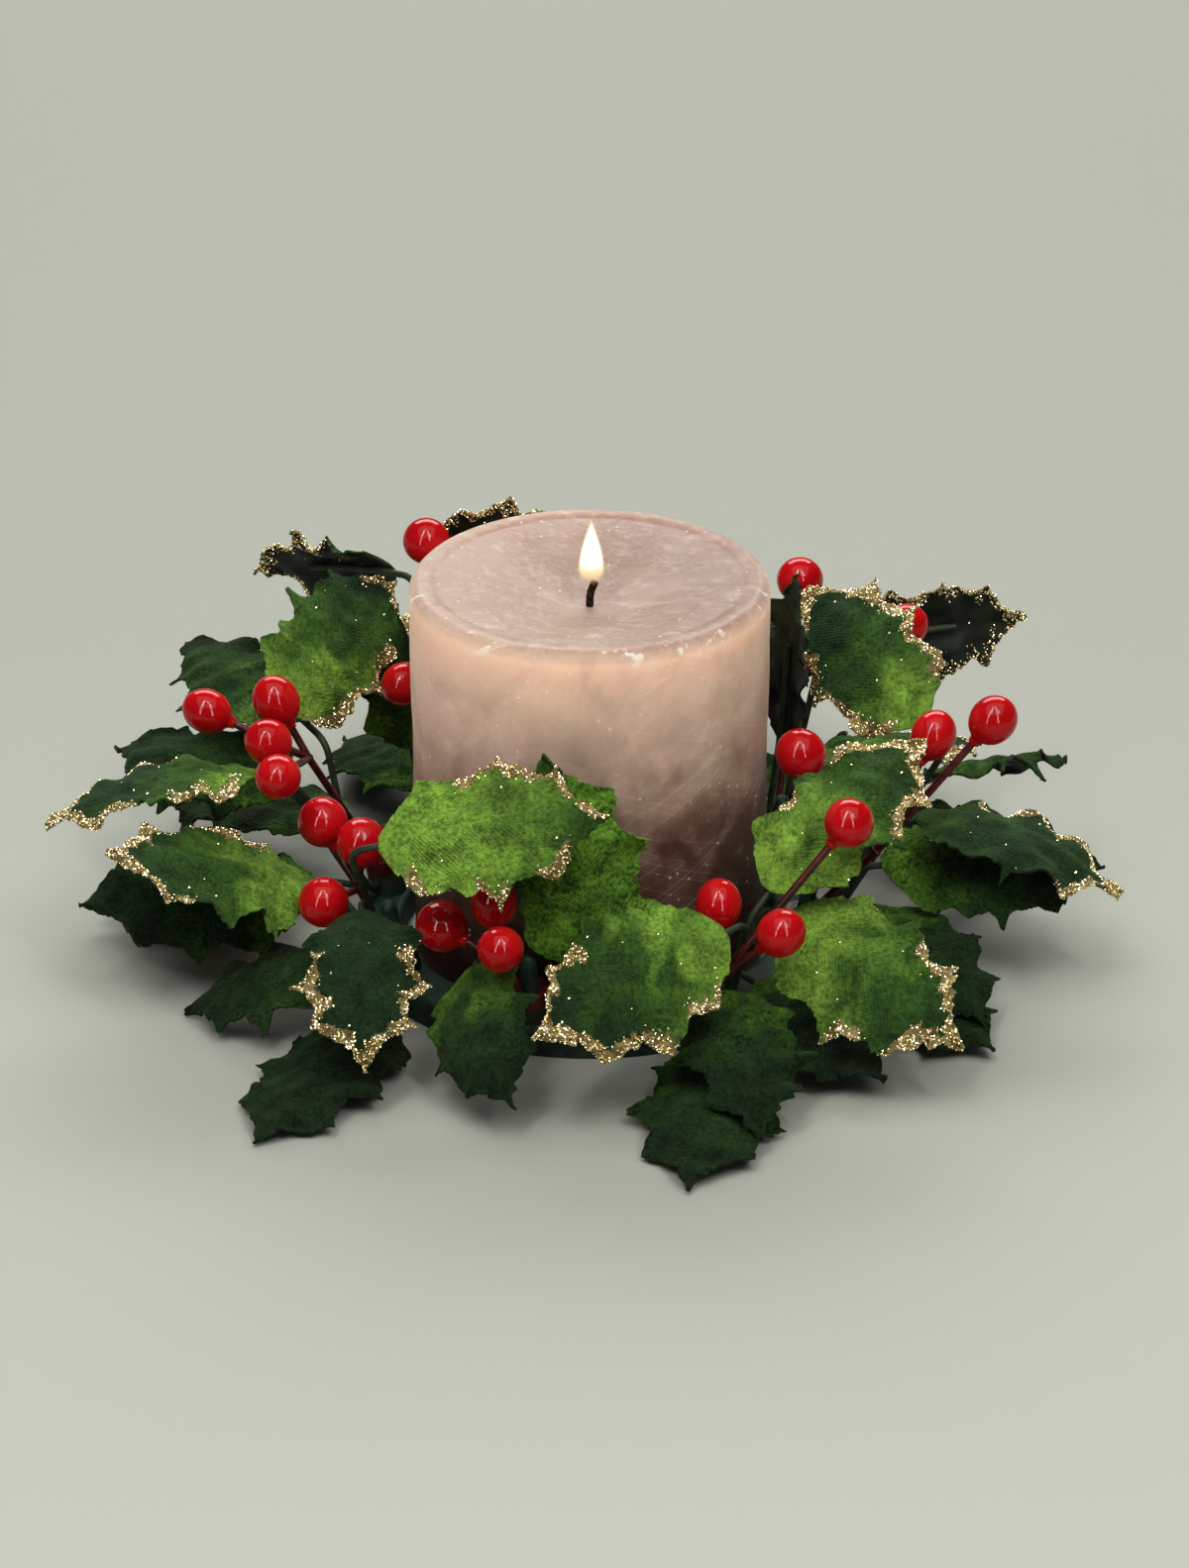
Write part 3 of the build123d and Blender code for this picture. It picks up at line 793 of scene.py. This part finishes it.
def mottled_wax(name):
    """Old-rose wax, clouded and streaked with frost, duller where it melted and brown towards the foot;
    painted shade darkens the top, the shoulder, the lower side and the foot, and painted glints and a painted
    glow brighten it.
    """
    made, tree = new_finish(name)
    place = place_of(tree)
    spot = {"Vector": place}
    across, forward, height = (tree.node("ShaderNodeSeparateXYZ", {}, spot, axis) for axis in "XYZ")
    radius = tree.math("SQRT", across * across + forward * forward)
    cloud = blotches(tree, place, size=0.022, detail=4, distortion=0.8)
    bloom = blotches(tree, place, size=0.008, detail=5, distortion=0.6)
    speck = blotches(tree, place, size=0.0011, detail=3)
    bruise = stretch(tree, blotches(tree, place, size=0.017, detail=4, distortion=1.0), 0.52, 0.72)
    # The melted hollow and the upward-facing shoulder take darker colours: partly the duller melted wax,
    # partly painted shade where the overhead light falls on the top
    hollow = 1 - stretch(tree, radius, *MELT_RADII)
    melt = tree.math("MAXIMUM", hollow, stretch(tree, height, *SHOULDER_SHADE_HEIGHTS) * 0.9)
    side = mix(tree, stretch(tree, cloud, 0.35, 0.65), WAX_WARM, WAX_ROSE)
    # The melted colours darken towards the right; they are partly painted shade
    melted = mix(tree, stretch(tree, bloom + across * 10, 0.30, 0.70), WAX_MELTED_AND_SHADE, WAX_POOL_AND_SHADE)
    pale = mix(tree, bruise * 0.45, mix(tree, melt, side, melted), WAX_BRUISE)
    # Towards the foot the wax turns brown and dark: partly its own colour, partly painted shade
    deep = mix(tree, stretch(tree, bloom, 0.38, 0.62), WAX_BROWN_AND_SHADE, WAX_DEEP_AND_SHADE)
    # The height is tilted so that the darker lower wax reaches higher on the right
    level = height - across * 0.10 + (cloud - 0.5) * 0.030 + (bloom - 0.5) * 0.010
    colour = mix(tree, stretch(tree, level, *BROWN_AND_SHADE_LEVELS), deep, pale)
    # The very foot is painted near black: painted shade from the ring and the leaves around it
    colour = mix(tree, stretch(tree, level, *FOOT_SHADE_LEVELS), WAX_FOOT_SHADE, colour)
    turned = {"vector_type": "TEXTURE"}
    inputs = {"Vector": place, "Rotation": (0.5, 0.8, 0.2), "Scale": (1, 1, 6)}
    drawn = tree.node("ShaderNodeMapping", turned, inputs)
    around = tree.math("ARCTAN2", across, 0 - forward) * candle_radius
    unrolled = tree.node("ShaderNodeCombineXYZ", {}, {"X": around, "Y": height})
    scratches = 0.0
    for turn, long in SCRATCH_LAYS:
        inputs = {"Vector": unrolled, "Rotation": (0, 0, turn), "Scale": (long, 1, 1)}
        lay = tree.node("ShaderNodeMapping", turned, inputs)
        grain = blotches(tree, lay, size=0.0035, detail=0.0)
        scratches = (1 - stretch(tree, tree.math("ABSOLUTE", grain - 0.5), 0.0, 0.016)) + scratches
    scratches = scratches * stretch(tree, cloud + (bloom - 0.5) * 0.6 + across * 4, 0.46, 0.62)
    scratches = scratches * stretch(tree, level, *SCRATCH_LEVELS, 0.15) * (1 - melt)
    haze = stretch(tree, blotches(tree, drawn, size=0.0025, detail=4, distortion=0.2), 0.52, 0.74)
    frost = stretch(tree, bloom * 0.55 + speck * 0.45, 0.48, 0.7) * 0.3 + haze * 0.3
    frost = frost * stretch(tree, level, *FROST_LEVELS)
    colour = mix(tree, frost, colour, WAX_FROST)
    colour = mix(tree, scratches * 0.28, colour, WAX_SCRATCH_AND_GLINT)
    # Painted highlights: scattered bright specks and bright patches round the shoulder, painted into the
    # colour as glints
    cells = {"Vector": place, "Scale": GLINTS_PER_METRE}
    glints = 1 - stretch(tree, tree.node("ShaderNodeTexVoronoi", {}, cells), 0.10, 0.20)
    cell = tree.node("ShaderNodeTexVoronoi", {}, cells, "Color")
    chance = tree.node("ShaderNodeSeparateXYZ", {}, {"Vector": cell}, "X")
    edge = stretch(tree, height, *EDGE_HEIGHTS) * stretch(tree, radius, *EDGE_RADII)
    glints = glints * stretch(tree, chance + (bloom - 0.5) * 1.2, 0.84, 0.88)
    glints = glints + edge * stretch(tree, haze + bloom, 0.85, 1.1)
    colour = mix(tree, glints * 0.7, colour, WAX_SCRATCH_AND_GLINT)
    pits = stretch(tree, blotches(tree, place, size=0.0026, detail=2), 0.74, 0.8)
    colour = mix(tree, pits * 0.45, colour, WAX_BROWN_AND_SHADE)
    relief = bloom * 0.9 + speck * 0.3 + scratches * 0.25 + glints * 0.3
    # The upper side, outside the hollow, glows faintly: painted light standing for light that shines through
    # the wax
    dress(tree, {
        "Base Color": colour,
        "Roughness": 0.28 + bloom * 0.30 + frost * 0.2,
        "Specular IOR Level": 0.2,
        "Emission Color": mix(tree, stretch(tree, level, *PAINTED_GLOW_LEVELS) * (1 - melt), (0, 0, 0), WAX_PAINTED_GLOW),
        "Emission Strength": 1.0,
        "Subsurface Weight": 0.8,
        "Subsurface Radius": (1.0, 0.65, 0.5),
        "Subsurface Scale": 0.020,
        "Normal": bump(tree, relief, depth=0.0007, strength=0.6),
    })
    return made


WAX_WARM = (0.86, 0.64, 0.47)
WAX_ROSE = (0.82, 0.58, 0.48)
# The melted top's colours are darker partly as painted shade
WAX_MELTED_AND_SHADE = (0.415, 0.285, 0.212)
WAX_POOL_AND_SHADE = (0.295, 0.188, 0.145)
WAX_BRUISE = (0.40, 0.24, 0.19)
# The lower wax's colours are partly its own brown and partly painted shade; the brown also colours the pits
WAX_DEEP_AND_SHADE = (0.30, 0.145, 0.095)
WAX_BROWN_AND_SHADE = (0.18, 0.080, 0.055)
# The foot's colour is painted shade
WAX_FOOT_SHADE = (0.046, 0.017, 0.011)
WAX_FROST = (0.78, 0.63, 0.55)
# The scratches' pale colour, also used for the painted glints
WAX_SCRATCH_AND_GLINT = (0.92, 0.86, 0.81)
# The colour of the painted glow
WAX_PAINTED_GLOW = (0.230, 0.165, 0.120)
wax.data.materials.append(mottled_wax("mottled_wax"))
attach(wax, "candle")
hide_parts("candle_wax")

# The wick
# A braid of cotton runs down inside the wax. Its free end is charred black and bent over by the burn.

CHAR_BLACK = (0.010, 0.006, 0.005)
CHAR_BROWN = (0.060, 0.035, 0.028)


def charred_braid(name):
    made, tree = new_finish(name)
    place = place_of(tree)
    strands = tree.node(
        "ShaderNodeTexWave", {"bands_direction": "DIAGONAL"},
        {"Vector": place, "Scale": 420.0, "Distortion": 2.0, "Detail": 2.0})
    ash = blotches(tree, place, size=0.0008, detail=4)
    dress(tree, {
        "Base Color": mix(tree, stretch(tree, ash, 0.4, 0.75), CHAR_BLACK, CHAR_BROWN),
        "Roughness": 0.75 + ash * 0.2,
        "Specular IOR Level": 0.08,
        "Normal": bump(tree, strands + ash, depth=0.0003, strength=0.9),
    })
    return made


wick_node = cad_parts["wick"]
wick_node.data.materials.clear()
wick_node.data.materials.append(charred_braid("charred_braid"))

# The flame
# A still candle flame stands round the wick's end: pale and dim at its root, white-hot in the middle, and
# orange where it thins out at the skin and the tip.

FLAME_FOOT = 0.0776
FLAME_TIP = 0.0922
FLAME_RADIUS = 0.0026
FLAME_BELLY = 0.26
FLAME_HEAT = 5.0
FLAME_SHIFT = 0.0003
CORE_SHARE = 0.86


def flame_glow(name, stops, clear_foot):
    """Glowing gas that is clear at the foot, with the colours that it shows from foot to tip."""
    made, tree = new_finish(name)
    height = tree.node("ShaderNodeSeparateXYZ", {}, {"Vector": place_of(tree)}, "Z")
    share = stretch(tree, height, FLAME_FOOT, FLAME_TIP)
    dress(tree, {
        "Base Color": (0, 0, 0, 1),
        "Roughness": 1.0,
        "Specular IOR Level": 0.0,
        "Emission Color": tree.node("ShaderNodeValToRGB", {"stops": stops}, {"Fac": share}),
        "Emission Strength": FLAME_HEAT,
        "Alpha": stretch(tree, share, *clear_foot),
    })
    return made


def flame(name, grow, material):
    bpy.ops.object.select_all(action="DESELECT")
    bpy.ops.mesh.primitive_uv_sphere_add(segments=32, ring_count=40, radius=1)
    body = bpy.context.object
    body.name = body.data.name = name
    for vertex in body.data.vertices:
        share = (vertex.co.z + 1) / 2
        if share < FLAME_BELLY:
            girth = sin(pi / 2 * share / FLAME_BELLY) ** 0.6
        else:
            girth = 1 - ((share - FLAME_BELLY) / (1 - FLAME_BELLY)) ** 1.6
        round_it = Vector((vertex.co.x, vertex.co.y, 0)).normalized()
        tall = (FLAME_TIP - FLAME_FOOT) * grow
        spot = Vector((FLAME_SHIFT, 0, FLAME_FOOT + (FLAME_TIP - FLAME_FOOT - tall) * 0.5 + tall * share))
        vertex.co = spot + round_it * max(girth, 0) * FLAME_RADIUS * grow
    bpy.ops.object.shade_smooth()
    body.data.materials.append(material)
    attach(body, "candle")


CORE_STOPS = (
    (0.15, (0.22, 0.15, 0.07)), (0.32, (0.30, 0.23, 0.14)), (0.5, (1.0, 0.92, 0.75)), (1.0, (1.0, 0.85, 0.55)))
SKIN_STOPS = ((0.15, (0.20, 0.12, 0.05)), (0.6, (0.22, 0.17, 0.09)), (1.0, (0.22, 0.16, 0.08)))
flame("flame", CORE_SHARE, flame_glow("flame_core", CORE_STOPS, (0.12, 0.36, 0.0, 1.0)))
flame("flame_skin", 1.0, flame_glow("flame_skin", SKIN_STOPS, (0.10, 0.40, 0.0, 0.5)))

# The studio
# A sweep of pale grey-green paper, painted darker towards the back as painted shade, lies under and behind the
# object, with softboxes overhead and behind it and two narrow ones in front. Two tall cards beside the camera
# show only as reflections in what is glossy.

# The paper at the front, and at the back its painted shade
PAPER_FRONT = (0.482, 0.497, 0.425)
PAPER_BACK_SHADE = (0.405, 0.418, 0.357)
SWEEP_START = 2.2
SWEEP_RADIUS = 0.45
SWEEP_STEPS = 12
PAPER_WIDTH = 6
PAPER_END = -2.5
PAPER_HEIGHT = 2.0
# Where the painted shade on the paper sets in, from front to back
FADE = (-0.25, 0.15)
TENT = ((0.45, (0.030, 0.032, 0.029)), (0.65, (0.045, 0.047, 0.044)), (1.0, (0.080, 0.083, 0.080)))
CARD_REACH = 0.68
CARD_WIDTH = 0.11
CARD_LENGTH = 1.5
CARD_POWER = 6.0
CAMERA_SPOT = (0.00091, -0.7763, 0.4281)
CAMERA_PITCH = radians(26.84)
LENS = 101.13

bpy.ops.object.select_all(action="DESELECT")
bpy.ops.mesh.primitive_plane_add(size=1)
floor = bpy.context.object
floor.name = floor.data.name = "floor"
for vertex in floor.data.vertices:
    vertex.co.x *= PAPER_WIDTH
    vertex.co.y = SWEEP_START if vertex.co.y > 0 else PAPER_END
select_where(floor, "edges", lambda edge: all(floor.data.vertices[i].co.y > 0 for i in edge.vertices))
run = 2 * SWEEP_RADIUS * sin(radians(90) / (2 * SWEEP_STEPS))
for step in range(SWEEP_STEPS):
    angle = radians(90) * (step + 0.5) / SWEEP_STEPS
    rise = (0, run * cos(angle), run * sin(angle))
    bpy.ops.mesh.extrude_region_move(TRANSFORM_OT_translate={"value": rise})
bpy.ops.mesh.extrude_region_move(TRANSFORM_OT_translate={"value": (0, 0, PAPER_HEIGHT)})
bpy.ops.object.mode_set(mode="OBJECT")
bpy.ops.object.shade_smooth()
paper, paper_tree = new_finish("grey_green_paper")
paper_spot = place_of(paper_tree)
fibres = blotches(paper_tree, paper_spot, size=0.004, detail=4)
backward = paper_tree.node("ShaderNodeSeparateXYZ", {}, {"Vector": paper_spot}, "Y")
# The paper is painted darker towards the back: painted shade where less light falls
back_shade = stretch(paper_tree, backward + fibres * 0.02, *FADE)
dress(paper_tree, {
    "Base Color": mix(paper_tree, back_shade, PAPER_FRONT, PAPER_BACK_SHADE),
    "Roughness": 0.9,
    "Specular IOR Level": 0.2,
})
floor.data.materials.append(paper)


def softbox(name, spot, width, height, power, aim=(0, 0, 0.03)):
    light = bpy.data.lights.new(name, "AREA")
    light.shape = "RECTANGLE"
    light.size, light.size_y, light.energy = width, height, power
    box = bpy.data.objects.new(name, light)
    box.location = spot
    box.rotation_euler = (Vector(aim) - Vector(spot)).to_track_quat("-Z", "Y").to_euler()
    scene.collection.objects.link(box)
    return box


softbox("overhead", (0.0, -0.32, 1.15), width=1.7, height=1.3, power=10.5)
softbox("back_bank", (0.0, 1.9, 1.40), width=2.4, height=0.9, power=46)
softbox("left_strip", (-0.26, -0.52, 1.12), width=0.08, height=0.45, power=2.6)
softbox("right_strip", (0.36, -0.60, 1.06), width=0.08, height=0.45, power=2.4)
for name, turn in (("left_card", radians(-31)), ("right_card", radians(19))):
    spot = (CARD_REACH * sin(turn), -CARD_REACH * cos(turn), CARD_REACH)
    softbox(name, spot, CARD_WIDTH, CARD_LENGTH, CARD_POWER).visible_diffuse = False
world = bpy.data.worlds.new("studio_air")
world.use_nodes = True
sky = Paint(world.node_tree)
direction = sky.node("ShaderNodeTexCoord", {}, {}, "Generated")
upward = sky.node("ShaderNodeSeparateXYZ", {}, {"Vector": direction}, "Z")
tent = sky.node("ShaderNodeValToRGB", {"stops": TENT}, {"Fac": upward * 0.5 + 0.5})
world.node_tree.links.new(tent.socket, world.node_tree.nodes["Background"].inputs["Color"])
scene.world = world

camera_data = bpy.data.cameras.new("camera")
camera_data.lens = LENS
camera_data.sensor_width = 36
camera = bpy.data.objects.new("camera", camera_data)
camera.location = CAMERA_SPOT
camera.rotation_euler = (radians(90) - CAMERA_PITCH, 0, 0)
scene.collection.objects.link(camera)
scene.camera = camera
